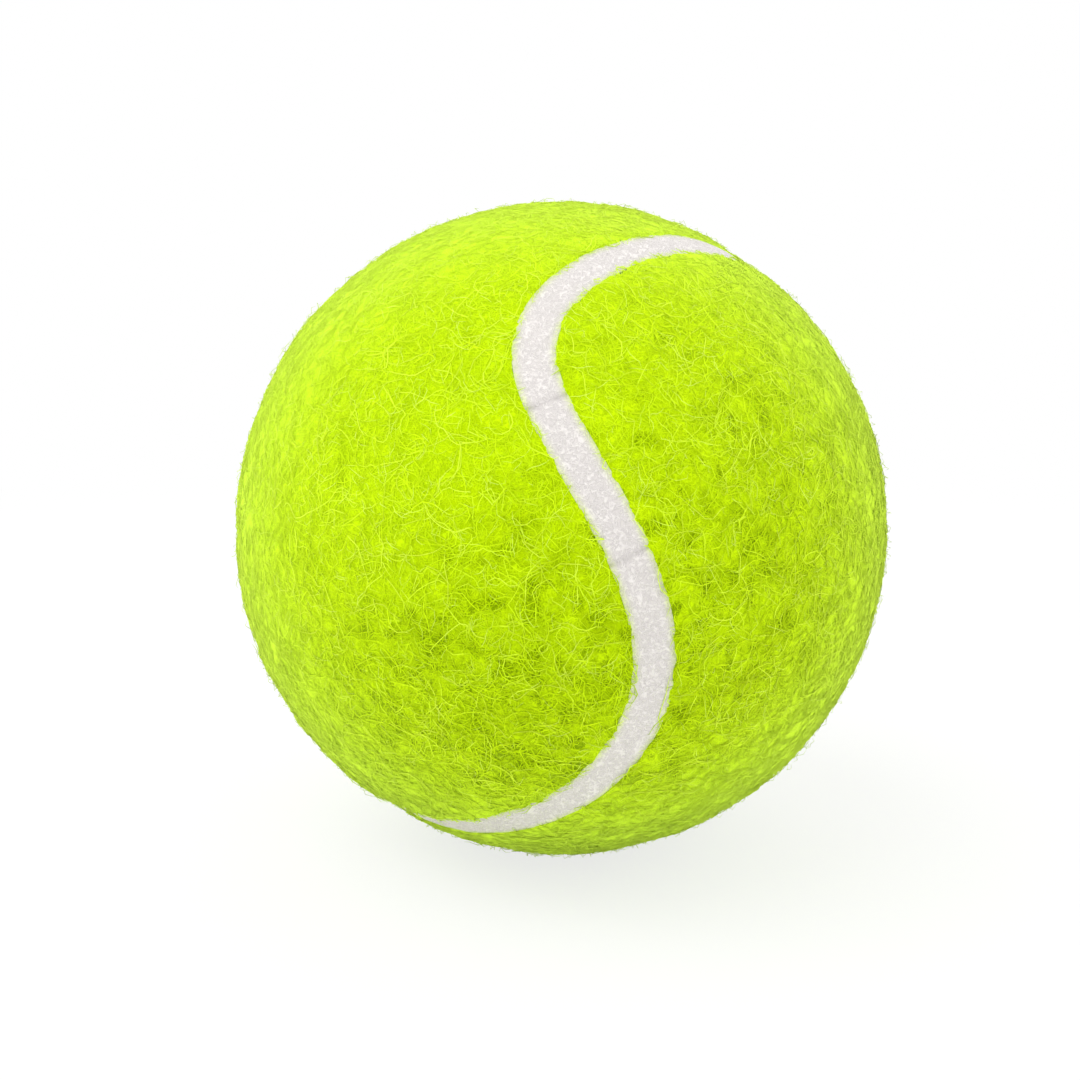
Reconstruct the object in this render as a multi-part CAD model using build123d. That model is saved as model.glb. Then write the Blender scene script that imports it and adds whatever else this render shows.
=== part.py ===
from build123d import *
import math
import os

# A tennis ball: two rubber half cores glued into one hollow core, a coat of cement, and a cover
# of two felt panels with a rubber seam between them. Lengths are in millimetres and angles in
# degrees. The ball's centre is the origin and +Z is up as the ball is seen. Each layer is bonded
# to the one below it, with bond_gap left between them.

ball_diameter = 67.0
nap_thickness = 2.5
backing_thickness = 0.6
panel_glue_thickness = 0.25
cement_thickness = 0.15
bond_gap = 0.02
core_wall = 3.4
core_glue_thickness = 0.4
core_glue_bead_radius = 0.7

seam_width = 3.8
seam_recess = 0.45
nap_edge_radius = 0.4

# How the seam winds over the ball, as shares of the plain circle that it starts from.
lobe_share = 0.218
hook_share = 0.226
rise_share = 1.214
twist_share = 0.156
ripple_share = 0.08
seam_points = 48
seam_face_count = 16

# How the seam's own axes are turned on the ball.
seam_angle_x = -6.2
seam_angle_y = -7.0
seam_angle_z = 95.9

ball_radius = ball_diameter / 2
backing_outer = ball_radius - nap_thickness
panel_glue_outer = backing_outer - backing_thickness
cement_outer = panel_glue_outer - panel_glue_thickness
core_outer = cement_outer - cement_thickness
core_inner = core_outer - core_wall
seam_outer = ball_radius - seam_recess


def ball(radius):
    """Give a whole solid ball, with the join of its own surface clear of the panels' waists."""
    return Rotation(0, 0, 45) * Solid.make_sphere(radius, angle1=-90, angle2=90)


def shell(inner, outer):
    """Give the hollow ball between two radii."""
    return ball(outer) - ball(inner)


def seam_direction(turn):
    """Give the way from the ball's centre to the seam's middle line, at a turn along the seam."""
    across = math.cos(turn) + lobe_share * math.cos(3 * turn) - hook_share * math.cos(5 * turn)
    along = math.sin(turn) - lobe_share * math.sin(3 * turn) - hook_share * math.sin(5 * turn)
    up = rise_share * math.sin(2 * turn) + twist_share * math.cos(2 * turn)
    up -= ripple_share * math.sin(6 * turn)
    return Vector(across, along, up).normalized()


def edge_direction(turn, side):
    """Give the way from the centre to a panel's edge, half the seam's width to one side."""
    step = math.pi / seam_points
    middle = seam_direction(turn)
    travel = seam_direction(turn + step) - seam_direction(turn - step)
    sideways = middle.cross(travel).normalized()
    half_angle = side * seam_width / 2 / seam_outer
    return middle * math.cos(half_angle) + sideways * math.sin(half_angle)


def panel_cut(side):
    """Give the surface that cuts the cover along one side of the seam, square to the ball."""
    ways = [edge_direction(2 * math.pi * point / seam_points, side) for point in range(seam_points)]
    low = Edge.make_spline([way * core_outer for way in ways], periodic=True)
    high = Edge.make_spline([way * (ball_radius + nap_thickness) for way in ways], periodic=True)
    faces = []
    for face in range(seam_face_count):
        start = face / seam_face_count
        end = (face + 1) / seam_face_count
        faces.append(Face.make_surface_from_curves(low.trim(start, end), high.trim(start, end)))
    return Shell(faces)


def cut_layer(inner, outer):
    """Cut a layer of the cover along both sides of the seam.

    Gives the panel under the bottom, the strip along the seam and the panel over the top.
    """
    pieces = [shell(inner, outer)]
    for side in (-1, 1):
        cut = panel_cut(side)
        pieces = [half for piece in pieces for half in piece.split(cut, keep=Keep.ALL)]
    return sorted(pieces, key=lambda piece: piece.center().Z)


def round_nap(panel):
    """Round the nap over at its edge, where it turns down to the seam."""
    rim = []
    for edge in panel.edges().filter_by(GeomType.BSPLINE):
        if min(edge.position_at(place).length for place in (0, 0.5, 1)) > seam_outer:
            rim.append(edge)
    return panel.fillet(nap_edge_radius, rim)


def make_core():
    """Make the two half cores and the glue between them, which swells into the hollow."""
    wall = shell(core_inner, core_outer)
    upper = wall.split(Plane.XY.offset(core_glue_thickness / 2), keep=Keep.TOP)
    lower = wall.split(Plane.XY.offset(-core_glue_thickness / 2), keep=Keep.BOTTOM)
    bead = Solid.make_torus(core_inner, core_glue_bead_radius) & ball(core_inner)
    return {
        "core_half_upper": upper,
        "core_half_lower": lower,
        "core_glue_ring": wall - upper - lower + bead,
        "core_cement_coat": shell(core_outer + bond_gap, cement_outer),
    }


def make_cover():
    """Make the layers of both felt panels and the rubber seam, turned to the way the ball lies."""
    glue = cut_layer(cement_outer + bond_gap, panel_glue_outer)
    backing = cut_layer(panel_glue_outer + bond_gap, backing_outer)
    nap = cut_layer(backing_outer + bond_gap, ball_radius)
    cover = {"seam_rubber": cut_layer(cement_outer + bond_gap, seam_outer)[1]}
    for name, place in (("bottom", 0), ("top", 2)):
        cover["panel_glue_" + name] = glue[place]
        cover["panel_backing_" + name] = backing[place]
        cover["felt_nap_" + name] = round_nap(nap[place])
    pose = Rotation(seam_angle_x, seam_angle_y, seam_angle_z)
    return {node: pose * piece for node, piece in cover.items()}


os.makedirs("parts", exist_ok=True)
for node, piece in {**make_core(), **make_cover()}.items():
    export_step(piece, "parts/" + node + ".step")
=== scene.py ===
import logging
import math
from dataclasses import dataclass, field
from enum import Enum
from typing import Any, Optional

import bmesh
import bpy
import numpy as np
from bpy.types import Material, Mesh, Node, NodeSocket as Socket, NodeTree, Object
from mathutils import Euler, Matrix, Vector, noise


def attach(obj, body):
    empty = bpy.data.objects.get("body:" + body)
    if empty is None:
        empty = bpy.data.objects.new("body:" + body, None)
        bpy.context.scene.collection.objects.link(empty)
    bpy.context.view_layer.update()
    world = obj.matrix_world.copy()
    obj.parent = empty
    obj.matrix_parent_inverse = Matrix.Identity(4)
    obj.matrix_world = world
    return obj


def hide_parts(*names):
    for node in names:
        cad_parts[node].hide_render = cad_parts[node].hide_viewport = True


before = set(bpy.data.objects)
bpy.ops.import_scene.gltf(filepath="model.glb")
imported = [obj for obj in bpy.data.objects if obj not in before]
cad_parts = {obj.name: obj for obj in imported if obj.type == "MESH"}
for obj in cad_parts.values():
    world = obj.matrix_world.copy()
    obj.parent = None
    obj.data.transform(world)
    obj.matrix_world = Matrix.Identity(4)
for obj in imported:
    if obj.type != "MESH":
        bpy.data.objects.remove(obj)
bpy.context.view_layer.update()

LOG = logging.getLogger("tennis_ball")
MM = 0.001
FULL_TURN = 2 * math.pi
WHITE = (1.0, 1.0, 1.0, 1.0)
MIDDLE = (0.5, 0.5, 0.5)
Pair = tuple[float, float]
Triple = tuple[float, float, float]
Colour = tuple[float, float, float, float]
# A range that is eased onto another: its start and end, and what comes out at each.
Easing = tuple[float, float, float, float]


def paint(red: int, green: int, blue: int) -> Colour:
    """Turn a colour as the eye reads it into the linear one that the shaders take.

    Args:
        red: Red, from 0 to 255.
        green: Green, from 0 to 255.
        blue: Blue, from 0 to 255.

    Returns:
        The linear colour, with a full alpha.
    """
    linear = []
    # The numbers are those of the sRGB standard.
    for level in (red, green, blue):
        share = level / 255
        linear.append(share / 12.92 if share <= 0.04045 else ((share + 0.055) / 1.055) ** 2.4)
    return linear[0], linear[1], linear[2], 1.0


def smooth_step(low: float, high: float, value: np.ndarray) -> np.ndarray:
    """Ease values from 0 at low to 1 at high."""
    share = np.clip((value - low) / (high - low), 0, 1)
    return share * share * (3 - 2 * share)


def unit(vectors: np.ndarray) -> np.ndarray:
    """Scale vectors, one a row, to a length of 1."""
    return vectors / np.linalg.norm(vectors, axis=-1, keepdims=True)


def once_round(count: int) -> np.ndarray:
    """Give even turns once round, in radians."""
    return np.linspace(0, FULL_TURN, count, endpoint=False)


def vertex_values(mesh: Mesh, name: str) -> np.ndarray:
    """Read a vector of each of a mesh's vertices.

    Args:
        mesh: The mesh.
        name: Which vector, such as the place or the normal.

    Returns:
        One vector a row.
    """
    values = np.zeros(len(mesh.vertices) * 3)
    mesh.vertices.foreach_get(name, values)
    return values.reshape(-1, 3)


def soften(mesh: Mesh, share: Any) -> None:
    """Shade a mesh partly as the plain ball that it lies on, because light passes through nap.

    Args:
        mesh: The mesh, which is changed.
        share: How much of the shading is the ball's, as one number or one for each vertex.
    """
    outward = unit(vertex_values(mesh, "co"))
    shares = np.broadcast_to(share, len(outward))[:, None]
    mixed = unit(vertex_values(mesh, "normal") * (1 - shares) + outward * shares)
    mesh.normals_split_custom_set_from_vertices(mixed.tolist())


def show(name: str, data: Any) -> Object:
    """Make an object and put it in the scene.

    Args:
        name: Its name.
        data: Its mesh, light or camera.

    Returns:
        The object.
    """
    made = bpy.data.objects.new(name, data)
    bpy.context.scene.collection.objects.link(made)
    return made


def plain_mesh(made: Object, name: str) -> Mesh:
    """Turn what an object's modifiers make into a plain mesh.

    Args:
        made: The object.
        name: The mesh's name.

    Returns:
        The mesh.
    """
    graph = bpy.context.evaluated_depsgraph_get()
    mesh = bpy.data.meshes.new_from_object(made.evaluated_get(graph), depsgraph=graph)
    mesh.name = name
    return mesh


@dataclass(frozen=True)
class Lumps:
    """Smooth random lumps over the ball: how high, how far apart in metres, and which pattern."""

    height: float
    size: float
    shift: float

    def at(self, spots: np.ndarray) -> np.ndarray:
        """Give the lumps' height at some places, one a row, all in metres."""
        offset = Vector((self.shift, 2 * self.shift, 3 * self.shift))
        return self.height * np.array([noise.noise(Vector(spot) / self.size + offset) for spot in spots])


class Side(Enum):
    """The two felt panels, by where each one crosses the ball."""

    TOP = "top"
    BOTTOM = "bottom"

    @property
    def seed(self) -> int:
        """Give the first seed of the panel's fibres."""
        return 100 if self is Side.TOP else 500


@dataclass(frozen=True)
class BallSizes:
    """The sizes that the pieces share, in metres."""

    radius: float = 33.5 * MM
    nap: float = 2.5 * MM
    seam_width: float = 3.8 * MM
    seam_recess: float = 0.45 * MM
    seam_foot: float = 30.17 * MM


@dataclass(frozen=True)
class SeamLine:
    """The closed line that the seam follows round the ball.

    The line is a circle that is pulled into lobes and hooks, raised and lowered, twisted and
    rippled a little, and then turned to the way the ball lies.
    """

    lobe: float = 0.218
    hook: float = 0.226
    rise: float = 1.214
    twist: float = 0.156
    ripple: float = 0.08
    angles: Triple = (-6.2, -7.0, 95.9)
    samples: int = 1440
    batches: int = 40
    least: float = 1e-9

    def turning(self) -> np.ndarray:
        """Give the turn from the seam's own axes to the ball's.

        Returns:
            The turn, as a matrix.
        """
        turn = np.eye(3)
        for axis, angle in enumerate(self.angles):
            one, two = (axis + 1) % 3, (axis + 2) % 3
            step = np.eye(3)
            step[one, one] = step[two, two] = math.cos(math.radians(angle))
            step[two, one] = math.sin(math.radians(angle))
            step[one, two] = -step[two, one]
            turn = turn @ step
        return turn

    def ways(self, turns: np.ndarray) -> np.ndarray:
        """Give the ways from the ball's centre to the line.

        Args:
            turns: How far round the line each one is, in radians.

        Returns:
            One unit vector a row.
        """
        across = np.cos(turns) + self.lobe * np.cos(3 * turns) - self.hook * np.cos(5 * turns)
        along = np.sin(turns) - self.lobe * np.sin(3 * turns) - self.hook * np.sin(5 * turns)
        up = self.rise * np.sin(2 * turns) + self.twist * np.cos(2 * turns)
        up = up - self.ripple * np.sin(6 * turns)
        return unit(np.stack([across, along, up], axis=-1)) @ self.turning().T

    def travel(self, turns: np.ndarray, step: float) -> np.ndarray:
        """Give how the ways change from a step before each turn to a step after it, in radians."""
        return self.ways(turns + step) - self.ways(turns - step)

    def sideways(self, turns: np.ndarray) -> np.ndarray:
        """Give the unit ways across the line at some turns, flat on the ball."""
        return unit(np.cross(self.ways(turns), self.travel(turns, math.pi / self.samples)))

    def nearest(self, ways: np.ndarray) -> tuple[np.ndarray, np.ndarray]:
        """Find how far each place is from the line.

        Args:
            ways: Unit vectors, one a row.

        Returns:
            The angle to the line in radians, and the way away from it on the ball.
        """
        line = self.ways(once_round(self.samples))
        parts = np.array_split(ways, self.batches)
        near = line[np.concatenate([np.argmax(part @ line.T, axis=1) for part in parts])]
        angle = np.arccos(np.clip(np.einsum("ij,ij->i", ways, near), -1, 1))
        away = ways - near
        away -= ways * np.einsum("ij,ij->i", ways, away)[:, None]
        return angle, away / np.maximum(np.linalg.norm(away, axis=1, keepdims=True), self.least)


class NodeBench:
    """A node tree with short ways to add nodes and join them."""

    def __init__(self, tree: NodeTree) -> None:
        """Take the tree to work on."""
        self.tree = tree

    def add(self, kind: str, inputs: Optional[dict[Any, Any]] = None, **settings: Any) -> Node:
        """Add a node.

        Args:
            kind: Blender's name for the kind of node.
            inputs: What goes into its sockets, by name or number: a socket to join or a value.
            **settings: The node's own settings.

        Returns:
            The node.
        """
        node = self.tree.nodes.new(kind)
        for name, value in settings.items():
            setattr(node, name, value)
        for key, value in (inputs or {}).items():
            if isinstance(value, Socket):
                self.tree.links.new(value, node.inputs[key])
            else:
                node.inputs[key].default_value = value
        return node

    def math(self, operation: str, one: Any, two: Any = 0.0, clamp: bool = False) -> Socket:
        """Add a sum of sockets or numbers, kept from 0 to 1 where clamp is set."""
        node = self.add("ShaderNodeMath", {0: one, 1: two}, operation=operation, use_clamp=clamp)
        return node.outputs[0]

    def plus(self, one: Any, two: Any, clamp: bool = False) -> Socket:
        """Add two sockets or numbers."""
        return self.math("ADD", one, two, clamp)

    def minus(self, one: Any, two: Any, clamp: bool = False) -> Socket:
        """Take the second socket or number from the first."""
        return self.math("SUBTRACT", one, two, clamp)

    def times(self, one: Any, two: Any, clamp: bool = False) -> Socket:
        """Multiply two sockets or numbers."""
        return self.math("MULTIPLY", one, two, clamp)

    def weigh(self, one: Any, two: Any, shares: Pair) -> Socket:
        """Add two sockets, each by its share."""
        return self.plus(self.times(one, shares[0]), self.times(two, shares[1]))

    def vector(self, operation: str, one: Any, two: Any = (0.0, 0.0, 0.0), scale: Any = 1.0) -> Socket:
        """Add a vector sum, which gives a number for a length or a dot product."""
        node = self.add("ShaderNodeVectorMath", {0: one, 1: two, 3: scale}, operation=operation)
        return node.outputs[1 if operation in ("LENGTH", "DOT_PRODUCT") else 0]

    def ease(self, value: Any, low: float, high: float, start: float = 0.0, end: float = 1.0) -> Socket:
        """Map low to high onto start to end, smoothly and held at both ends."""
        inputs = {0: value, 1: low, 2: high, 3: start, 4: end}
        return self.add("ShaderNodeMapRange", inputs, interpolation_type="SMOOTHSTEP").outputs[0]

    def blend(self, share: Any, one: Any, two: Any) -> Socket:
        """Mix two colours by the share of the second."""
        return self.add("ShaderNodeMix", {0: share, 6: one, 7: two}, data_type="RGBA").outputs[2]

    def noise(self, place: Any, scale: Any, detail: float, **more: Any) -> Any:
        """Add a smooth noise, of four dimensions where it is given a W, and give its outputs."""
        inputs = {"Vector": place, "Scale": scale, "Detail": detail, **more}
        return self.add("ShaderNodeTexNoise", inputs, noise_dimensions="4D" if "W" in more else "3D").outputs

    def store(self, geometry: Socket, name: str, value: Socket, domain: str, kind: str = "FLOAT") -> Socket:
        """Keep a value on a geometry under a name, and give the geometry."""
        inputs = {"Geometry": geometry, "Name": name, "Value": value}
        return self.add("GeometryNodeStoreNamedAttribute", inputs, data_type=kind, domain=domain).outputs[0]


def new_group(name: str, kind: str, takes: dict[str, Any], gives: dict[str, str]) -> NodeBench:
    """Start a node group with named sockets.

    Args:
        name: The group's name.
        kind: Blender's name for the kind of tree.
        takes: What goes in, each a socket kind and the value it starts from.
        gives: What comes out, each a socket kind.

    Returns:
        The bench to build the group on.
    """
    tree = bpy.data.node_groups.new(name, kind)
    for label, (socket, value) in takes.items():
        made = tree.interface.new_socket(label, in_out="INPUT", socket_type=socket)
        if value is not None:
            made.default_value = value
    for label, socket in gives.items():
        tree.interface.new_socket(label, in_out="OUTPUT", socket_type=socket)
    return NodeBench(tree)


def new_pattern(name: str, gives: tuple[str, ...]) -> NodeBench:
    """Start a shader group that reads a pattern at a place, by the values that it gives."""
    takes = {"Place": ("NodeSocketVector", None), "Fineness": ("NodeSocketFloat", 1000.0)}
    return new_group(name, "ShaderNodeTree", takes, {label: "NodeSocketFloat" for label in gives})


@dataclass(frozen=True)
class Tangle:
    """A shader group for a mat of fine curled fibres.

    Each layer of fibres has its fineness beside the mat's and its strands' width in the noise.
    """

    layers: tuple[Pair, ...] = ((1.0, 0.055), (0.62, 0.045), (1.45, 0.075))
    layer_shift: Triple = (0.31, 0.17, 0.23)
    winding: float = 0.6
    clump_fineness: float = 0.32
    clump_edges: Pair = (0.42, 0.62)

    def tree(self) -> NodeTree:
        """Make the group.

        Returns:
            A group that takes a place and how fine the mat is, and gives the fibres' height and the
            painted shade in the gaps among them.
        """
        bench = new_pattern("Fibre tangle", ("Fibres", "Gaps"))
        start = bench.add("NodeGroupInput").outputs
        fibres = None
        for layer, (fineness, width) in enumerate(self.layers):
            moved = bench.vector("ADD", start["Place"], tuple(part * layer for part in self.layer_shift))
            wound = bench.noise(moved, bench.times(start["Fineness"], fineness), 1.0,
                                Roughness=0.4, Distortion=self.winding)
            off = bench.math("ABSOLUTE", bench.minus(wound["Fac"], 0.5))
            strand = bench.ease(off, 0.0, width, 1.0, 0.0)
            fibres = strand if fibres is None else bench.math("MAXIMUM", fibres, strand)
        clumps = bench.noise(start["Place"], bench.times(start["Fineness"], self.clump_fineness), 2.0,
                             Roughness=0.6)
        open_share = bench.ease(clumps["Fac"], *self.clump_edges)
        # Painted shade in the gaps between the fibres, where the clumps open.
        gaps = bench.times(open_share, bench.minus(1.0, fibres), clamp=True)
        bench.add("NodeGroupOutput", {"Fibres": fibres, "Gaps": gaps})
        return bench.tree


@dataclass(frozen=True)
class Mottle:
    """A shader group for slow changes of tone and of painted shade over the ball.

    Painted shade is weakest on the upper left front side, towards the lamp. Round hollows of painted shade
    open away from that side, and they run together low on the front, where more painted shade is laid.
    """

    speck_fineness: float = 18.0
    shaded_hollow_fineness: float = 2.3
    patch_edges: Pair = (0.3, 0.7)
    speck_edges: Pair = (0.35, 0.65)
    hollow_shade_edges: Pair = (0.5, 0.74)
    low_front_hollow_edges: Pair = (0.1, 0.8)
    # The side towards the lamp, where less shade is painted, and the low front, where more is painted.
    lit_side_way: Triple = (-0.5, -0.55, 0.67)
    lit_side_fall: Easing = (0.3, 0.9, 1.0, 0.25)
    low_front_way: Triple = (-0.1, -0.87, -0.48)
    low_front_shade_rise: Easing = (0.68, 1.0, 0.0, 0.6)

    def tree(self) -> NodeTree:
        """Make the group.

        Returns:
            A group that takes a place on the ball and how fine the shades are, and gives slow patches of
            tone, the hollows where shade is painted, how much painted shade lies off the lit side, and fine
            specks.
        """
        bench = new_pattern("Mottle", ("Patches", "Hollows", "Loose", "Specks"))
        start = bench.add("NodeGroupInput").outputs
        place = start["Place"]
        fineness = start["Fineness"]
        patches = bench.noise(place, fineness, 3.0, Roughness=0.55)["Fac"]
        specks = bench.noise(place, bench.times(fineness, self.speck_fineness), 2.0)["Fac"]
        hollows = bench.noise(place, bench.times(fineness, self.shaded_hollow_fineness), 1.5)["Fac"]
        # Painted shade: less towards the lit upper left front side, and hollows run together low on the
        # front.
        outward = bench.vector("NORMALIZE", place)
        shade_off_lit_side = bench.ease(bench.vector("DOT_PRODUCT", outward, self.lit_side_way), *self.lit_side_fall)
        low_front_shade = bench.ease(bench.vector("DOT_PRODUCT", outward, self.low_front_way), *self.low_front_shade_rise)
        apart = bench.times(bench.ease(hollows, *self.hollow_shade_edges), shade_off_lit_side)
        joined = bench.times(bench.ease(hollows, *self.low_front_hollow_edges), low_front_shade)
        bench.add("NodeGroupOutput", {
            "Patches": bench.ease(patches, *self.patch_edges),
            "Hollows": bench.plus(apart, joined, clamp=True),
            "Loose": shade_off_lit_side,
            "Specks": bench.ease(specks, *self.speck_edges)})
        return bench.tree


@dataclass(frozen=True)
class ShaderGroups:
    """The shader groups that the finishes share."""

    tangle: NodeTree
    mottle: NodeTree


class Surface(NodeBench):
    """A material on a plain shader, and the bench of its nodes."""

    sheen_roughness: float = 0.5
    # How the paler painted light at the ball's edge, and the fading of painted shade there, rise as the felt
    # is seen aslant.
    veil_and_rim_light_blend: float = 0.5
    veil_and_rim_light_rise: Easing = (0.3, 0.85, 0.0, 0.95)

    def __init__(self, finish: "Finish", groups: ShaderGroups) -> None:
        """Start the material of a finish.

        Args:
            finish: The finish, which says how the shader is set.
            groups: The shared shader groups.
        """
        self.groups = groups
        self.material = bpy.data.materials.new(finish.name)
        self.material.use_nodes = True
        super().__init__(self.material.node_tree)
        self.shader = self.tree.nodes["Principled BSDF"]
        values = {"Roughness": finish.roughness, "Specular IOR Level": finish.gloss,
                  "Sheen Weight": finish.sheen, "Sheen Roughness": self.sheen_roughness,
                  "Sheen Tint": finish.tint}
        for label, value in values.items():
            self.shader.inputs[label].default_value = value

    def place(self) -> Socket:
        """Read the place on the piece itself."""
        return self.add("ShaderNodeTexCoord").outputs["Object"]

    def carried(self, name: str) -> Socket:
        """Read a number that the mesh carries."""
        return self.add("ShaderNodeAttribute", attribute_name=name).outputs["Fac"]

    def pattern(self, tree: NodeTree, fineness: float) -> Any:
        """Place a shared group, read over the piece itself, and give its outputs."""
        inputs = {"Place": self.place(), "Fineness": fineness}
        return self.add("ShaderNodeGroup", inputs, node_tree=tree).outputs

    def rim_veil_and_light(self) -> Socket:
        """Give how far felt is seen aslant, where its nap closes over the painted shade of the gaps and a
        paler painted light is laid at the ball's edge.
        """
        inputs = {"Blend": self.veil_and_rim_light_blend, "Normal": self.vector("NORMALIZE", self.place())}
        return self.ease(self.add("ShaderNodeLayerWeight", inputs).outputs["Facing"], *self.veil_and_rim_light_rise)

    def colour(self, colour: Socket) -> None:
        """Colour the shader."""
        self.tree.links.new(colour, self.shader.inputs["Base Color"])

    def bump(self, height: Socket, depth: float, strength: Any) -> None:
        """Raise the surface by a pattern from 0 to 1, which stands a depth in metres high."""
        bump = self.add("ShaderNodeBump", {"Strength": strength, "Distance": depth, "Height": height})
        self.tree.links.new(bump.outputs["Normal"], self.shader.inputs["Normal"])


class Finish:
    """What the finishes share: a name, how matt they are, how much they mirror, and their fuzz."""

    name: str
    roughness: float
    gloss: float = 0.2
    sheen: float = 0.0
    tint: Colour = WHITE

    def material(self, groups: ShaderGroups) -> Material:
        """Make the finish's material.

        Args:
            groups: The shared shader groups.

        Returns:
            The material.
        """
        face = Surface(self, groups)
        self.dress(face)
        return face.material

    def dress(self, face: Surface) -> None:
        """Add the finish's own nodes.

        Args:
            face: The material to dress.
        """
        raise NotImplementedError


@dataclass(frozen=True)
class FeltFinish(Finish):
    """Napped felt: a mat of curls with painted shade in its gaps and hollows, slow patches of tone, and a
    paler painted light where it is seen aslant.
    """

    name: str = "felt"
    # The colour of the painted shade in the gaps and hollows.
    painted_shade: Colour = paint(126, 155, 0)
    body: Colour = paint(184, 219, 0)
    pale: Colour = paint(210, 247, 8)
    # The paler colour painted where the felt is seen aslant, as light at the ball's edge.
    rim_light: Colour = paint(210, 248, 64)
    tint: Colour = paint(226, 255, 110)
    roughness: float = 0.95
    gloss: float = 0.0
    sheen: float = 0.45
    mat_fineness: float = 1900.0
    shade_fineness: float = 190.0
    gap_shade_weights: Pair = (0.85, 0.42)
    hollow_shade_and_patch_tone: Pair = (0.44, 0.08)
    rim_light_share: float = 0.8
    bump_depth: float = 0.2 * MM
    bump_share: float = 0.4

    def dress(self, face: Surface) -> None:
        """Add the felt's own nodes.

        Args:
            face: The material to dress.
        """
        tangle = face.pattern(face.groups.tangle, self.mat_fineness)
        mottle = face.pattern(face.groups.mottle, self.shade_fineness)
        # Painted shade: in the gaps between fibres, stronger in the hollows and off the lit side, and over
        # the hollows themselves, with slow patches of tone; it fades where the felt is seen aslant.
        gap_shade_strength = face.weigh(mottle["Hollows"], mottle["Loose"], self.gap_shade_weights)
        slow = face.weigh(mottle["Hollows"], mottle["Patches"], self.hollow_shade_and_patch_tone)
        dark = face.plus(face.times(tangle["Gaps"], gap_shade_strength), slow, clamp=True)
        veil_and_rim_light = face.rim_veil_and_light()
        bare = face.minus(1.0, veil_and_rim_light)
        colour = face.blend(tangle["Fibres"], self.body, self.pale)
        colour = face.blend(face.times(dark, bare), colour, self.painted_shade)
        # Painted light: paler where the felt is seen aslant, at the ball's edge.
        face.colour(face.blend(face.times(veil_and_rim_light, self.rim_light_share), colour, self.rim_light))
        face.bump(tangle["Fibres"], self.bump_depth, face.times(bare, self.bump_share))


@dataclass(frozen=True)
class FibreFinish(Finish):
    """Single fibres, each with a tone of its own, with painted shade in the hollows and a paler painted light
    where they are seen aslant.
    """

    name: str
    dark: Colour
    light: Colour
    # The paler colour painted where the fibres are seen aslant, as light at the ball's edge.
    rim_light: Colour = paint(212, 250, 70)
    tint: Colour = paint(226, 255, 110)
    roughness: float = 0.7
    gloss: float = 0.03
    sheen: float = 0.45
    shade_fineness: float = 190.0
    shade_power: float = 1.6
    shade_share: float = 0.75
    shade_least: float = 0.25
    hollow_shade: float = 0.4
    rim_light_share: float = 0.8

    def dress(self, face: Surface) -> None:
        """Add the fibres' own nodes.

        Args:
            face: The material to dress.
        """
        hollows = face.pattern(face.groups.mottle, self.shade_fineness)["Hollows"]
        own = face.math("POWER", face.carried("strand"), self.shade_power)
        pale = face.plus(face.times(own, self.shade_share), self.shade_least)
        # Painted shade: fibres darker in the hollows.
        share = face.minus(pale, face.times(hollows, self.hollow_shade), clamp=True)
        colour = face.blend(share, self.dark, self.light)
        # Painted light: paler where the fibres are seen aslant.
        face.colour(face.blend(face.times(face.rim_veil_and_light(), self.rim_light_share), colour, self.rim_light))


@dataclass(frozen=True)
class SeamFinish(Finish):
    """White seam rubber with the print of felt pressed into it, and a fringe of fuzz at its edges."""

    name: str = "seam_rubber"
    high: Colour = paint(237, 232, 229)
    low: Colour = paint(204, 198, 196)
    fuzz: Colour = paint(220, 240, 110)
    grey: Colour = paint(182, 176, 175)
    mark: Colour = paint(150, 144, 143)
    roughness: float = 0.75
    gloss: float = 0.06
    sheen: float = 0.05
    print_fineness: float = 1700.0
    speck_fineness: float = 260.0
    print_share: float = 0.6
    print_least: float = 0.4
    speck_share: float = 0.1
    bump_depth: float = 0.1 * MM
    bump_share: float = 0.6

    def dress(self, face: Surface) -> None:
        """Add the seam's own nodes.

        Args:
            face: The material to dress.
        """
        fibres = face.pattern(face.groups.tangle, self.print_fineness)["Fibres"]
        specks = face.pattern(face.groups.mottle, self.speck_fineness)["Specks"]
        raised = face.plus(face.times(fibres, self.print_share), self.print_least)
        colour = face.blend(raised, self.low, self.high)
        colour = face.blend(face.times(specks, self.speck_share), colour, self.grey)
        colour = face.blend(face.carried("crease"), colour, self.mark)
        face.colour(face.blend(face.times(face.carried("fringe"), raised), colour, self.fuzz))
        face.bump(fibres, self.bump_depth, self.bump_share)


@dataclass(frozen=True)
class RubberFinish(Finish):
    """Rubber inside the ball: moulded core, glue or cement, patched and specked."""

    name: str
    dark: Colour
    light: Colour
    roughness: float = 0.8
    fineness: float = 160.0
    patch_speck_shares: Pair = (0.6, 0.4)
    bump_depth: float = 0.08 * MM
    bump_share: float = 0.4

    def dress(self, face: Surface) -> None:
        """Add the rubber's own nodes.

        Args:
            face: The material to dress.
        """
        mottle = face.pattern(face.groups.mottle, self.fineness)
        share = face.weigh(mottle["Patches"], mottle["Specks"], self.patch_speck_shares)
        face.colour(face.blend(share, self.dark, self.light))
        face.bump(mottle["Specks"], self.bump_depth, self.bump_share)


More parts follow.
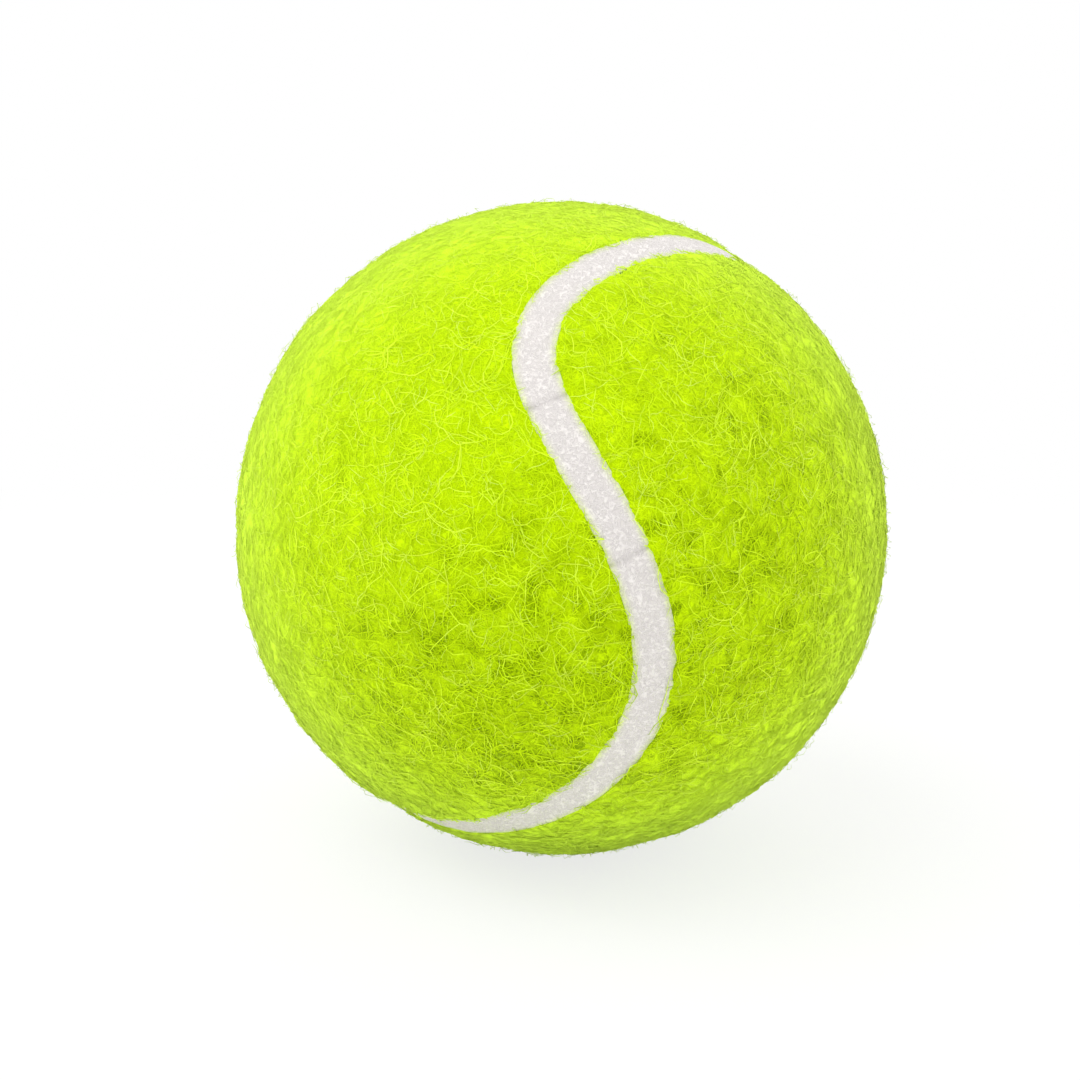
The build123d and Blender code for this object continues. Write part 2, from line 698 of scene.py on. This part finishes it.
@dataclass(frozen=True)
class ClothFinish(Finish):
    """Plain woven backing cloth, with threads that cross."""

    name: str = "backing_cloth"
    dark: Colour = paint(150, 152, 84)
    light: Colour = paint(206, 208, 138)
    roughness: float = 0.9
    gloss: float = 0.1
    sheen: float = 0.1
    threads: float = 900.0
    wander: float = 0.4
    fineness: float = 220.0
    weave_patch_shares: Pair = (0.7, 0.3)
    bump_depth: float = 0.1 * MM
    bump_share: float = 0.5

    def dress(self, face: Surface) -> None:
        """Add the cloth's own nodes.

        Args:
            face: The material to dress.
        """
        inputs = {"Vector": face.place(), "Scale": self.threads, "Distortion": self.wander}
        warp, weft = (face.add("ShaderNodeTexWave", inputs, bands_direction=way).outputs["Fac"]
                      for way in ("X", "Z"))
        weave = face.times(warp, weft)
        patches = face.pattern(face.groups.mottle, self.fineness)["Patches"]
        share = face.weigh(weave, patches, self.weave_patch_shares)
        face.colour(face.blend(share, self.dark, self.light))
        face.bump(weave, self.bump_depth, self.bump_share)


@dataclass
class FibreTree:
    """The Geometry Nodes tree that lays curled fibres over a felt panel.

    The strides keep a fibre's random numbers apart from each other.
    """

    softness: float = 0.9
    seed_stride: float = 97.0
    swirl_angle: float = 6 * math.pi
    spins: Pair = (-0.8, 0.8)
    lengths: Pair = (0.6, 1.4)
    bend_stride: float = 4000.0
    rise_stride: float = 531.0
    rise_fineness: float = 1.3
    rise_level: float = 0.38
    rise_share: float = 3.0
    seam_calm: Easing = (1.5 * MM, 4.5 * MM, 0.35, 1.0)
    loop_stride: float = 611.0
    trim_stride: float = 977.0
    least_joints: int = 3
    tube_sides: int = 3
    taper_power: float = 4.0
    taper_share: float = 0.75
    map_start: float = 0.15
    map_along: float = 0.7
    map_around: float = 0.9
    bench: NodeBench = field(init=False)
    start: Any = field(init=False)

    def __post_init__(self) -> None:
        """Build the tree."""
        numbers = {
            "Fibres a Square Metre": 1.0e6, "Least Radius": 33 * MM, "Length": 4 * MM,
            "Thickness": 0.12 * MM, "Bend": 1.5 * MM, "Bends": 3.0, "Loop Size": 0.4 * MM, "Loops": 1.3,
            "Swirls a Metre": 200.0, "Lift": 0.3 * MM, "Seam Reach": 1.8 * MM, "Seam Overlap": 0.8 * MM}
        takes = {"Felt": ("NodeSocketGeometry", None)}
        takes.update({label: ("NodeSocketFloat", value) for label, value in numbers.items()})
        takes.update({"Joints": ("NodeSocketInt", 6), "Seed": ("NodeSocketInt", 1)})
        takes.update({"Seam Line": ("NodeSocketObject", None), "Finish": ("NodeSocketMaterial", None)})
        self.bench = new_group("Curled fibres", "GeometryNodeTree", takes, {"Fibres": "NodeSocketGeometry"})
        self.start = self.bench.add("NodeGroupInput").outputs
        straight = self.bench.add("GeometryNodeRealizeInstances", {0: self._roots()}).outputs[0]
        self._thicken(self._trim(self._curl(straight)))

    def _random(self, least: float, most: float, step: int) -> Socket:
        """Give each fibre a random number. The step tells its numbers apart."""
        inputs = {2: least, 3: most, 8: self.bench.plus(self.start["Seed"], self.seed_stride * step)}
        return self.bench.add("FunctionNodeRandomValue", inputs, data_type="FLOAT").outputs[1]

    def _dice(self, stride: float) -> Any:
        """Give random values that follow from a fibre's own number."""
        own = self.bench.times(self._named("strand"), stride)
        return self.bench.add("ShaderNodeTexWhiteNoise", {"W": own}, noise_dimensions="1D").outputs

    def _named(self, name: str) -> Socket:
        """Read a number that a fibre carries."""
        return self.bench.add("GeometryNodeInputNamedAttribute", {"Name": name}, data_type="FLOAT").outputs[0]

    def _place(self) -> Socket:
        """Read where a point is."""
        return self.bench.add("GeometryNodeInputPosition").outputs[0]

    def _along(self) -> Socket:
        """Read how far along its curve a point is, from 0 to 1."""
        return self.bench.add("GeometryNodeSplineParameter").outputs["Factor"]

    def _from_seam(self) -> Socket:
        """Measure how far a place is from the seam's line."""
        line = self.bench.add("GeometryNodeObjectInfo", {"Object": self.start["Seam Line"]})
        near = self.bench.add("GeometryNodeProximity", {"Geometry": line.outputs["Geometry"]},
                              target_element="EDGES")
        return near.outputs["Distance"]

    def _roots(self) -> Socket:
        """Scatter straight fibres flat on the felt, each with its own shade and radius.

        Returns:
            The instances' socket.
        """
        bench = self.bench
        start = self.start
        radius = bench.vector("LENGTH", self._place())
        outside = bench.add("FunctionNodeCompare", {0: radius, 1: start["Least Radius"]},
                            data_type="FLOAT", operation="GREATER_THAN").outputs[0]
        points = bench.add("GeometryNodeDistributePointsOnFaces", {
            "Mesh": start["Felt"], "Selection": outside, "Density": start["Fibres a Square Metre"],
            "Seed": start["Seed"]}, distribute_method="RANDOM").outputs
        swirl = bench.noise(self._place(), start["Swirls a Metre"], 0.0)["Fac"]
        angle = bench.plus(bench.times(swirl, self.swirl_angle), self._random(*self.spins, 1))
        spin = bench.add("FunctionNodeAxisAngleToRotation", {"Axis": (0.0, 0.0, 1.0), "Angle": angle})
        facing = bench.add("FunctionNodeRotateRotation", {0: points["Rotation"], 1: spin.outputs[0]},
                           rotation_space="LOCAL")
        ends = {"Start": (-0.5, 0.0, 0.0), "End": (0.5, 0.0, 0.0)}
        line = bench.add("GeometryNodeCurvePrimitiveLine", ends)
        jointed = bench.add("GeometryNodeResampleCurve", {"Curve": line.outputs[0], "Count": start["Joints"]})
        length = bench.times(start["Length"], self._random(*self.lengths, 2))
        fibres = bench.add("GeometryNodeInstanceOnPoints", {
            "Points": points["Points"], "Instance": jointed.outputs[0],
            "Rotation": facing.outputs[0], "Scale": length}).outputs[0]
        shaded = bench.store(fibres, "strand", self._random(0.0, 1.0, 3), "INSTANCE")
        return bench.store(shaded, "root_radius", bench.vector("LENGTH", self._place()), "INSTANCE")

    def _curl(self, fibres: Socket) -> Socket:
        """Bend each fibre its own way and lay it on the ball.

        Args:
            fibres: The straight fibres.

        Returns:
            The curled fibres' socket.
        """
        bench = self.bench
        start = self.start
        along = self._along()
        own = bench.times(self._named("strand"), self.bend_stride)
        path = bench.add("ShaderNodeCombineXYZ", {0: bench.times(along, start["Bends"])}).outputs[0]
        bends = bench.vector("SUBTRACT", bench.noise(path, 1.0, 1.0, W=own)["Color"], MIDDLE)
        bent = bench.vector("SCALE", bends, scale=bench.times(start["Bend"], 2.0))
        straight = self._place()
        place = bench.vector("ADD", bench.vector("ADD", straight, bent), self._loop(straight, along))
        rises = bench.noise(path, self.rise_fineness, 0.0, W=bench.plus(own, self.rise_stride))["Fac"]
        free = bench.ease(self._from_seam(), *self.seam_calm)
        risen = bench.times(bench.minus(rises, self.rise_level), free)
        lift = bench.times(risen, bench.times(start["Lift"], self.rise_share))
        radius = bench.plus(self._named("root_radius"), lift)
        laid = bench.vector("SCALE", bench.vector("NORMALIZE", place), scale=radius)
        return bench.add("GeometryNodeSetPosition", {"Geometry": fibres, "Position": laid}).outputs[0]

    def _loop(self, straight: Socket, along: Socket) -> Socket:
        """Wind a fibre into flat loops, each fibre its own size and hand.

        Args:
            straight: The places along the straight fibre.
            along: How far along the fibre they are, from 0 to 1.

        Returns:
            How far each place is moved.
        """
        bench = self.bench
        dice = self._dice(self.loop_stride)["Color"]
        parts = bench.add("ShaderNodeSeparateXYZ", {0: dice}).outputs
        outward = bench.vector("NORMALIZE", straight)
        leaning = bench.vector("CROSS_PRODUCT", outward, bench.vector("SUBTRACT", dice, MIDDLE))
        side = bench.vector("NORMALIZE", leaning)
        front = bench.vector("CROSS_PRODUCT", outward, side)
        hand = bench.math("SIGN", bench.minus(parts[2], 0.5))
        rounds = bench.times(self.start["Loops"], bench.plus(parts[0], 0.5))
        angle = bench.times(bench.times(along, rounds), bench.times(hand, FULL_TURN))
        size = bench.times(self.start["Loop Size"], bench.plus(parts[1], 0.5))
        sideways = bench.vector("SCALE", side, scale=bench.math("COSINE", angle))
        forward = bench.vector("SCALE", front, scale=bench.math("SINE", angle))
        return bench.vector("SCALE", bench.vector("ADD", sideways, forward), scale=size)

    def _trim(self, fibres: Socket) -> Socket:
        """Cut off what would lie on the seam, and drop the fibres that are left too short.

        Args:
            fibres: The curled fibres.

        Returns:
            The trimmed fibres' socket.
        """
        bench = self.bench
        dice = self._dice(self.trim_stride)["Value"]
        stray = bench.times(bench.math("POWER", dice, 2.0), self.start["Seam Overlap"])
        reach = bench.minus(self.start["Seam Reach"], stray)
        over = bench.add("FunctionNodeCompare", {0: self._from_seam(), 1: reach},
                         data_type="FLOAT", operation="LESS_THAN").outputs[0]
        cut = bench.add("GeometryNodeDeleteGeometry", {"Geometry": fibres, "Selection": over}, domain="POINT")
        count = bench.add("GeometryNodeSplineLength").outputs["Point Count"]
        short = bench.add("FunctionNodeCompare", {2: count, 3: self.least_joints},
                          data_type="INT", operation="LESS_THAN").outputs[0]
        return bench.add("GeometryNodeDeleteGeometry", {
            "Geometry": cut.outputs[0], "Selection": short}, domain="CURVE").outputs[0]

    def _thicken(self, fibres: Socket) -> None:
        """Give the fibres their thickness, their places on the bake's map and their finish.

        Args:
            fibres: The trimmed fibres.
        """
        bench = self.bench
        along = self._along()
        kept = bench.store(fibres, "along", along, "POINT")
        off_middle = bench.math("ABSOLUTE", bench.minus(bench.times(along, 2.0), 1.0))
        thinned = bench.times(bench.math("POWER", off_middle, self.taper_power), self.taper_share)
        half = bench.times(self.start["Thickness"], 0.5)
        circle = bench.add("GeometryNodeCurvePrimitiveCircle", {"Resolution": self.tube_sides, "Radius": 1.0})
        tubes = bench.add("GeometryNodeCurveToMesh", {
            "Curve": kept, "Profile Curve": bench.store(circle.outputs[0], "around", self._along(), "POINT"),
            "Scale": bench.times(bench.minus(1.0, thinned), half), "Fill Caps": True}).outputs[0]
        mapped = bench.store(tubes, "OFBake", self._map(), "CORNER", "FLOAT2")
        smooth = bench.add("GeometryNodeSetShadeSmooth", {"Geometry": mapped})
        done = bench.add("GeometryNodeRealizeInstances", {0: smooth.outputs[0]})
        dressed = bench.add("GeometryNodeSetMaterial", {
            "Geometry": done.outputs[0], "Material": self.start["Finish"]})
        bench.add("NodeGroupOutput", {"Fibres": dressed.outputs[0]})

    def _map(self) -> Socket:
        """Give each fibre a cell of its own on the bake's map.

        Returns:
            The places on the map.
        """
        bench = self.bench
        island = bench.add("GeometryNodeInputMeshIsland").outputs
        cells = bench.math("CEIL", bench.math("SQRT", island["Island Count"]))
        column = bench.math("MODULO", island["Island Index"], cells)
        row = bench.math("FLOOR", bench.math("DIVIDE", island["Island Index"], cells))
        spot = {}
        rules = ((column, "along", self.map_along), (row, "around", self.map_around))
        for axis, (cell, name, share) in enumerate(rules):
            inside = bench.plus(bench.times(self._named(name), share), self.map_start)
            spot[axis] = bench.math("DIVIDE", bench.plus(cell, inside), cells)
        return bench.add("ShaderNodeCombineXYZ", spot).outputs[0]

    def grow(self, felt: Object, name: str, values: dict[str, Any]) -> Object:
        """Grow one lot of fibres on a felt panel, as a plain mesh.

        Args:
            felt: The felt panel.
            name: The new piece's name.
            values: The tree's inputs, by name.

        Returns:
            The fibres, as a piece of their own.
        """
        bed = show(name + "_bed", felt.data)
        modifier = bed.modifiers.new("fibres", "NODES")
        modifier.node_group = self.bench.tree
        for socket in self.bench.tree.interface.items_tree:
            if socket.in_out == "INPUT" and socket.name in values:
                modifier[socket.identifier] = values[socket.name]
        mesh = plain_mesh(bed, name)
        bpy.data.objects.remove(bed)
        soften(mesh, self.softness)
        piece = show(name, mesh)
        piece.visible_shadow = False
        return piece


@dataclass(frozen=True)
class FibreLot:
    """One kind of fibre on a panel: how many, how long and how curled."""

    name: str
    lots: int
    count: int
    length: float
    thickness: float
    bend: float
    bends: float
    loop: float
    loops: float
    lift: float
    joints: int

    def inputs(self) -> dict[str, Any]:
        """Give the lot's values by the names of the tree's inputs."""
        return {"Length": self.length, "Thickness": self.thickness, "Bend": self.bend, "Bends": self.bends,
                "Loop Size": self.loop, "Loops": self.loops, "Lift": self.lift, "Joints": self.joints}


@dataclass
class FeltPanel:
    """One felt panel of the cover: its mat, and the fibres that lie on it."""

    side: Side
    sizes: BallSizes
    seam: SeamLine
    weld: float = 1e-6
    voxel: float = 0.5 * MM
    hills: tuple[Lumps, ...] = (
        Lumps(0.18 * MM, 5.0 * MM, 3.1), Lumps(0.16 * MM, 2.4 * MM, 7.7), Lumps(0.05 * MM, 1.1 * MM, 12.3))
    wavers: tuple[Lumps, ...] = (Lumps(0.3 * MM, 1.5 * MM, 21.0), Lumps(0.18 * MM, 0.9 * MM, 33.0))
    waver_back: float = 0.22 * MM
    waver_reach: float = 1.1 * MM
    sink: float = 0.18 * MM
    edge_sink: float = 0.1 * MM
    edge_reach: float = 1.8 * MM
    outer_shares: Pair = (0.75, 0.25)
    softness: float = 0.6
    cover_share: float = 0.92
    seed_stride: int = 40
    root_depth: float = 0.75 * MM
    seam_lap: float = 0.2 * MM
    seam_overlap: float = 0.9 * MM
    flat: Pair = (0.057, 0.156)
    lots: tuple[FibreLot, ...] = (
        FibreLot("curls", lots=3, count=3450, length=2.9 * MM, thickness=0.095 * MM, bend=0.8 * MM,
                 bends=2.5, loop=0.46 * MM, loops=1.2, lift=0.16 * MM, joints=9),
        FibreLot("wisps", lots=1, count=2550, length=4.2 * MM, thickness=0.085 * MM, bend=1.4 * MM,
                 bends=3.0, loop=0.65 * MM, loops=1.0, lift=0.24 * MM, joints=12),
        FibreLot("hairs", lots=1, count=3000, length=1.5 * MM, thickness=0.05 * MM, bend=0.5 * MM,
                 bends=1.6, loop=0.25 * MM, loops=0.6, lift=0.6 * MM, joints=5),
    )
    mat: Optional[Object] = None
    fibres: list[Object] = field(default_factory=list)

    @property
    def node(self) -> str:
        """Name the CAD node that the panel's nap stands for."""
        return "felt_nap_" + self.side.value

    def build(self, tree: FibreTree, line: Object, finishes: dict[str, Material]) -> None:
        """Make the mat and its fibres.

        Args:
            tree: The tree that grows the fibres.
            line: The seam's line, which the fibres keep off.
            finishes: The fibres' materials, by the kind of fibre.
        """
        self.mat = self._mat()
        area = FULL_TURN * self.sizes.radius ** 2 * self.cover_share
        for kind, lot in enumerate(self.lots):
            values = {
                **lot.inputs(), "Fibres a Square Metre": lot.count / area,
                "Least Radius": self.sizes.radius - self.root_depth, "Seam Line": line,
                "Seam Reach": self.sizes.seam_width / 2 - self.seam_lap,
                "Seam Overlap": self.seam_overlap, "Finish": finishes[lot.name]}
            for layer in range(lot.lots):
                values["Seed"] = self.side.seed + self.seed_stride * kind + layer
                name = "felt_%s_%s_%d" % (self.side.value, lot.name, layer + 1)
                self.fibres.append(tree.grow(self.mat, name, values))

    def _mat(self) -> Object:
        """Make the felt's mat: the nap's own form, evenly meshed and fluffed up.

        Returns:
            The mat.
        """
        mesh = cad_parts[self.node].data.copy()
        work = bmesh.new()
        work.from_mesh(mesh)
        bmesh.ops.remove_doubles(work, verts=work.verts, dist=self.weld)
        work.to_mesh(mesh)
        work.free()
        mesh.materials.clear()
        mat = show("felt_" + self.side.value, mesh)
        mat.visible_shadow = False
        remesh = mat.modifiers.new("even", "REMESH")
        remesh.mode = "VOXEL"
        remesh.voxel_size = self.voxel
        even = plain_mesh(mat, mat.name)
        mat.modifiers.clear()
        mat.data = even
        self._fluff(even)
        even.shade_smooth()
        radius = np.linalg.norm(vertex_values(even, "co"), axis=1)
        soften(even, self.softness * self._outer(radius))
        return mat

    def _outer(self, radius: np.ndarray) -> np.ndarray:
        """Give how far places are in the outer half of the nap, from 0 to 1 at its face."""
        low, high = (self.sizes.radius - share * self.sizes.nap for share in self.outer_shares)
        return smooth_step(low, high, radius)

    def _fluff(self, mesh: Mesh) -> None:
        """Give the mat the soft lumps of felt, and its edge along the seam a slight waver.

        Args:
            mesh: The mat's mesh, which is changed.
        """
        spots = vertex_values(mesh, "co")
        radius = np.linalg.norm(spots, axis=1)
        ways = spots / radius[:, None]
        outer = self._outer(radius)
        ground = ways * self.sizes.radius
        height = sum(hill.at(ground) for hill in self.hills)
        angle, away = self.seam.nearest(ways)
        inside = np.maximum(angle * self.sizes.radius - self.sizes.seam_width / 2, 0)
        edge = np.exp(-(inside / self.waver_reach) ** 2) * outer
        waver = sum(lumps.at(ground) for lumps in self.wavers) - self.waver_back
        ways = unit(ways + away * (edge * waver / self.sizes.radius)[:, None])
        fall = self.sink + self.edge_sink * np.exp(-(inside / self.edge_reach) ** 2)
        spots = ways * (radius + outer * (height - fall))[:, None]
        mesh.vertices.foreach_set("co", spots.ravel())
        mesh.update()

    def dress(self, felt: Material) -> list[Object]:
        """Args:
            felt: The mat's material.

        Returns:
            The panel's pieces.
        """
        self.mat.data.materials.append(felt)
        pieces = [self.mat, *self.fibres]
        for piece in pieces:
            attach(piece, "root")
        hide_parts(self.node)
        return pieces


@dataclass
class SeamBand:
    """The white rubber seam: a closed band that fills the gap between the panels.

    The marks are in degrees along the line. A pair of numbers is what a value starts from in the
    band's middle and what it gains towards the edges.
    """

    sizes: BallSizes
    seam: SeamLine
    steps: int = 1300
    columns: int = 14
    line_points: int = 720
    shoulder: float = 1.2 * MM
    sharp_angle: float = 50.0
    bumps: tuple[Lumps, ...] = (Lumps(0.05 * MM, 1.8 * MM, 4.4), Lumps(0.02 * MM, 0.7 * MM, 9.1))
    crown: float = 0.04 * MM
    marks: tuple[float, ...] = (7.75, 174.75, 187.75, 354.75)
    mark_depth: float = 0.09 * MM
    mark_width: float = 0.3 * MM
    mark_dent: Pair = (0.35, 1.4)
    mark_darkening: Pair = (0.15, 0.35)
    fringe_edges: Pair = (0.6, 1.05)
    fringe_share: float = 0.7
    piece: Optional[Object] = None

    def line(self) -> Object:
        """Make the seam's bare line on the ball, for the fibres to keep off.

        Returns:
            The line, as an object with edges alone.
        """
        ways = self.seam.ways(once_round(self.line_points))
        spots = ways * (self.sizes.radius - self.sizes.seam_recess / 2)
        mesh = bpy.data.meshes.new("seam_line")
        links = [(point, (point + 1) % self.line_points) for point in range(self.line_points)]
        mesh.from_pydata(spots.tolist(), links, [])
        return show("seam_line", mesh)

    def _outline(self) -> list[Pair]:
        """Give the band's outline.

        Returns:
            How far across each corner is, from -1 to 1, and its radius.
        """
        top = self.sizes.radius - self.sizes.seam_recess
        foot = self.sizes.seam_foot
        outline = [(share, top) for share in np.linspace(-1, 1, self.columns)]
        outline += [(1.0, top - self.shoulder), (1.0, foot)]
        return outline + [(0.0, foot), (-1.0, foot), (-1.0, top - self.shoulder)]

    def _spots(self, outline: list[Pair]) -> np.ndarray:
        """Sweep the band's outline along the seam's line.

        Args:
            outline: The outline's corners.

        Returns:
            The places, by the step along the line and the corner.
        """
        turns = once_round(self.steps)
        ways = self.seam.ways(turns)
        sides = self.seam.sideways(turns)
        top = outline[0][1]
        rings = []
        for share, radius in outline:
            tilt = share * self.sizes.seam_width / 2 / top
            spot = ways * math.cos(tilt) + sides * math.sin(tilt)
            height = np.full(self.steps, radius)
            if radius == top:
                height = height + self._swell(turns, spot, share)
            rings.append(spot * height[:, None])
        return np.stack(rings, axis=1)

    def build(self) -> None:
        """Make the band as one closed mesh that carries its marks and its fringe."""
        outline = self._outline()
        width = len(outline)
        faces = []
        for step in range(self.steps):
            after = (step + 1) % self.steps
            for column in range(width):
                beside = (column + 1) % width
                faces.append((step * width + column, step * width + beside,
                              after * width + beside, after * width + column))
        mesh = bpy.data.meshes.new("seam")
        mesh.from_pydata(self._spots(outline).reshape(-1, 3).tolist(), [], faces)
        work = bmesh.new()
        work.from_mesh(mesh)
        bmesh.ops.recalc_face_normals(work, faces=work.faces)
        work.to_mesh(mesh)
        work.free()
        mesh.shade_smooth()
        mesh.set_sharp_from_angle(angle=math.radians(self.sharp_angle))
        off_middle = np.array([abs(share) for share, _ in outline])
        # The marks are coloured darker, more so towards the band's edges, where the dent is also deeper.
        crease_darkening = self.mark_darkening[0] + self.mark_darkening[1] * off_middle
        fringe = self.fringe_share * smooth_step(*self.fringe_edges, off_middle)
        crease = np.outer(self._crease(once_round(self.steps)), crease_darkening)
        for name, values in (("crease", crease.ravel()), ("fringe", np.tile(fringe, self.steps))):
            mesh.attributes.new(name, "FLOAT", "POINT").data.foreach_set("value", values)
        self.piece = show("seam", mesh)

    def _swell(self, turns: np.ndarray, spots: np.ndarray, share: float) -> np.ndarray:
        """Give the band's top its slight swell, its unevenness and the marks across it.

        Args:
            turns: How far round the line each place is, in radians.
            spots: The ways to the places.
            share: How far across the band they are, from -1 to 1.

        Returns:
            The height over the plain band, in metres.
        """
        ground = spots * self.sizes.radius
        height = sum(lumps.at(ground) for lumps in self.bumps) - self.crown * share ** 4
        dent = self.mark_dent[0] + self.mark_dent[1] * share ** 4
        return height - self.mark_depth * self._crease(turns) * dent

    def _crease(self, turns: np.ndarray) -> np.ndarray:
        """Give how far into a cross mark each place along the band is, which sets both its dent and its
        darker colour.

        Args:
            turns: How far round the line each place is, in radians.

        Returns:
            The depth, from 0 off the marks to 1 in the middle of one.
        """
        step = math.pi / self.steps
        reach = np.linalg.norm(self.seam.travel(turns, step), axis=1)
        metres = reach * self.sizes.radius / (2 * step)
        crease = np.zeros(len(turns))
        for mark in self.marks:
            gap = (turns - math.radians(mark) + math.pi) % FULL_TURN - math.pi
            crease += np.exp(-(gap * metres / self.mark_width) ** 2)
        return crease

    def dress(self, finish: Material) -> list[Object]:
        """Args:
            finish: The seam's material.

        Returns:
            The seam's one piece.
        """
        self.piece.data.materials.append(finish)
        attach(self.piece, "root")
        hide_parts("seam_rubber")
        return [self.piece]


@dataclass(frozen=True)
class InnerLayers:
    """The pieces under the cover, which keep their CAD form and get their finishes."""

    layers: tuple[tuple[Finish, tuple[str, ...]], ...] = (
        (RubberFinish("core_rubber", paint(52, 49, 47), paint(84, 80, 76)),
         ("core_half_upper", "core_half_lower")),
        (RubberFinish("core_glue", paint(104, 92, 70), paint(140, 126, 100), roughness=0.5, fineness=300.0),
         ("core_glue_ring",)),
        (RubberFinish("cement", paint(168, 154, 124), paint(198, 186, 156), roughness=0.6, fineness=240.0),
         ("core_cement_coat",)),
        (RubberFinish("panel_glue", paint(172, 158, 120), paint(206, 192, 152),
                      roughness=0.7, fineness=320.0),
         ("panel_glue_top", "panel_glue_bottom")),
        (ClothFinish(), ("panel_backing_top", "panel_backing_bottom")),
    )

    def dress(self, groups: ShaderGroups) -> list[Object]:
        """Put the finishes on.

        Args:
            groups: The shared shader groups.

        Returns:
            The pieces.
        """
        pieces = []
        for finish, nodes in self.layers:
            material = finish.material(groups)
            for node in nodes:
                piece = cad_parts[node]
                piece.data.materials.clear()
                piece.data.materials.append(material)
                pieces.append(piece)
        return pieces


@dataclass(frozen=True)
class Studio:
    """The floor, the light and the camera."""

    sizes: BallSizes
    distance: float = 0.1424
    elevation: float = 10.0
    sensor: float = 36.0
    lens: float = 44.94
    shift: Pair = (-0.0192, -0.0114)
    lamp_place: Triple = (-0.34, -0.16, 0.62)
    lamp_size: float = 0.6
    lamp_power: float = 2.5
    world_rise: Easing = (0.0, 0.9, 0.9, 1.2)
    floor_reach: float = 40.0
    floor_colour: Colour = (0.95, 0.95, 0.95, 1.0)
    floor_glow: Easing = (0.05, 0.3, 0.76, 1.0)

    def build(self) -> None:
        """Set the studio up."""
        self._floor()
        self._world()
        self._lamp()
        self._camera()
        bpy.context.scene.view_settings.view_transform = "Standard"

    def _floor(self) -> None:
        """Lay a plain pale floor, which keeps the ball's shadow."""
        mesh = bpy.data.meshes.new("floor")
        reach = self.floor_reach
        corners = ((-reach, -reach), (reach, -reach), (reach, reach), (-reach, reach))
        mesh.from_pydata([(*corner, -self.sizes.radius) for corner in corners], [], [(0, 1, 2, 3)])
        floor = show("floor", mesh)
        material = bpy.data.materials.new("pale_floor")
        material.use_nodes = True
        bench = NodeBench(material.node_tree)
        material.node_tree.nodes.clear()
        matt = bench.add("ShaderNodeBsdfDiffuse", {"Color": self.floor_colour})
        glow = bench.add("ShaderNodeEmission", {"Color": WHITE, "Strength": 1.0})
        place = bench.add("ShaderNodeTexCoord").outputs["Object"]
        bright = bench.ease(bench.vector("LENGTH", place), *self.floor_glow)
        share = bench.times(bench.add("ShaderNodeLightPath").outputs["Is Camera Ray"], bright)
        mixed = bench.add("ShaderNodeMixShader", {0: share, 1: matt.outputs[0], 2: glow.outputs[0]})
        bench.add("ShaderNodeOutputMaterial", {"Surface": mixed.outputs[0]})
        mesh.materials.append(material)

    def _world(self) -> None:
        """Light the ball softly from all round, a little more from the right, on a white background."""
        world = bpy.data.worlds.new("soft_white")
        bpy.context.scene.world = world
        world.use_nodes = True
        bench = NodeBench(world.node_tree)
        seen = bench.add("ShaderNodeLightPath").outputs
        shown = bench.math("MAXIMUM", seen["Is Camera Ray"], seen["Is Transmission Ray"])
        shown = bench.math("MAXIMUM", shown, seen["Is Glossy Ray"])
        way = bench.add("ShaderNodeSeparateXYZ", {0: bench.add("ShaderNodeTexCoord").outputs["Generated"]})
        around = bench.ease(way.outputs["X"], *self.world_rise)
        strength = bench.plus(shown, bench.times(bench.minus(1.0, shown), around))
        back = world.node_tree.nodes["Background"]
        back.inputs["Color"].default_value = WHITE
        world.node_tree.links.new(strength, back.inputs["Strength"])

    def _lamp(self) -> None:
        """Hang a soft lamp that faces the ball."""
        data = bpy.data.lights.new("key", "AREA")
        data.size = self.lamp_size
        data.energy = self.lamp_power
        lamp = show("key", data)
        lamp.location = self.lamp_place
        lamp.rotation_euler = Vector(self.lamp_place).to_track_quat("Z", "Y").to_euler()

    def _camera(self) -> None:
        """Set the camera at the photograph's angle and framing."""
        data = bpy.data.cameras.new("camera")
        data.sensor_width = self.sensor
        data.lens = self.lens
        data.shift_x, data.shift_y = self.shift
        camera = show("camera", data)
        facing = Euler((math.radians(90 - self.elevation), 0.0, 0.0))
        camera.location = facing.to_matrix() @ Vector((0.0, 0.0, self.distance))
        camera.rotation_euler = facing
        bpy.context.scene.camera = camera


def main() -> None:
    """Build the ball's pieces in order, dress them and set the studio up."""
    logging.basicConfig(level=logging.INFO, format="%(name)s: %(message)s")
    sizes = BallSizes()
    seam = SeamLine()
    groups = ShaderGroups(Tangle().tree(), Mottle().tree())
    felt = FeltFinish().material(groups)
    shades = {
        "curls": (paint(186, 221, 0), paint(221, 255, 24)),
        "hairs": (paint(214, 250, 40), paint(230, 255, 110)),
        "wisps": (paint(212, 248, 12), paint(228, 255, 72)),
    }
    fibres = {kind: FibreFinish("felt_" + kind, *pair).material(groups) for kind, pair in shades.items()}
    band = SeamBand(sizes, seam)
    line = band.line()
    tree = FibreTree()
    pieces = InnerLayers().dress(groups)
    band.build()
    pieces += band.dress(SeamFinish().material(groups))
    for side in Side:
        panel = FeltPanel(side, sizes, seam)
        panel.build(tree, line, fibres)
        pieces += panel.dress(felt)
    bpy.data.objects.remove(line)
    for piece in pieces:
        LOG.info("%s: %d faces", piece.name, len(piece.data.polygons))
    Studio(sizes).build()


if __name__ == "__main__":
    main()
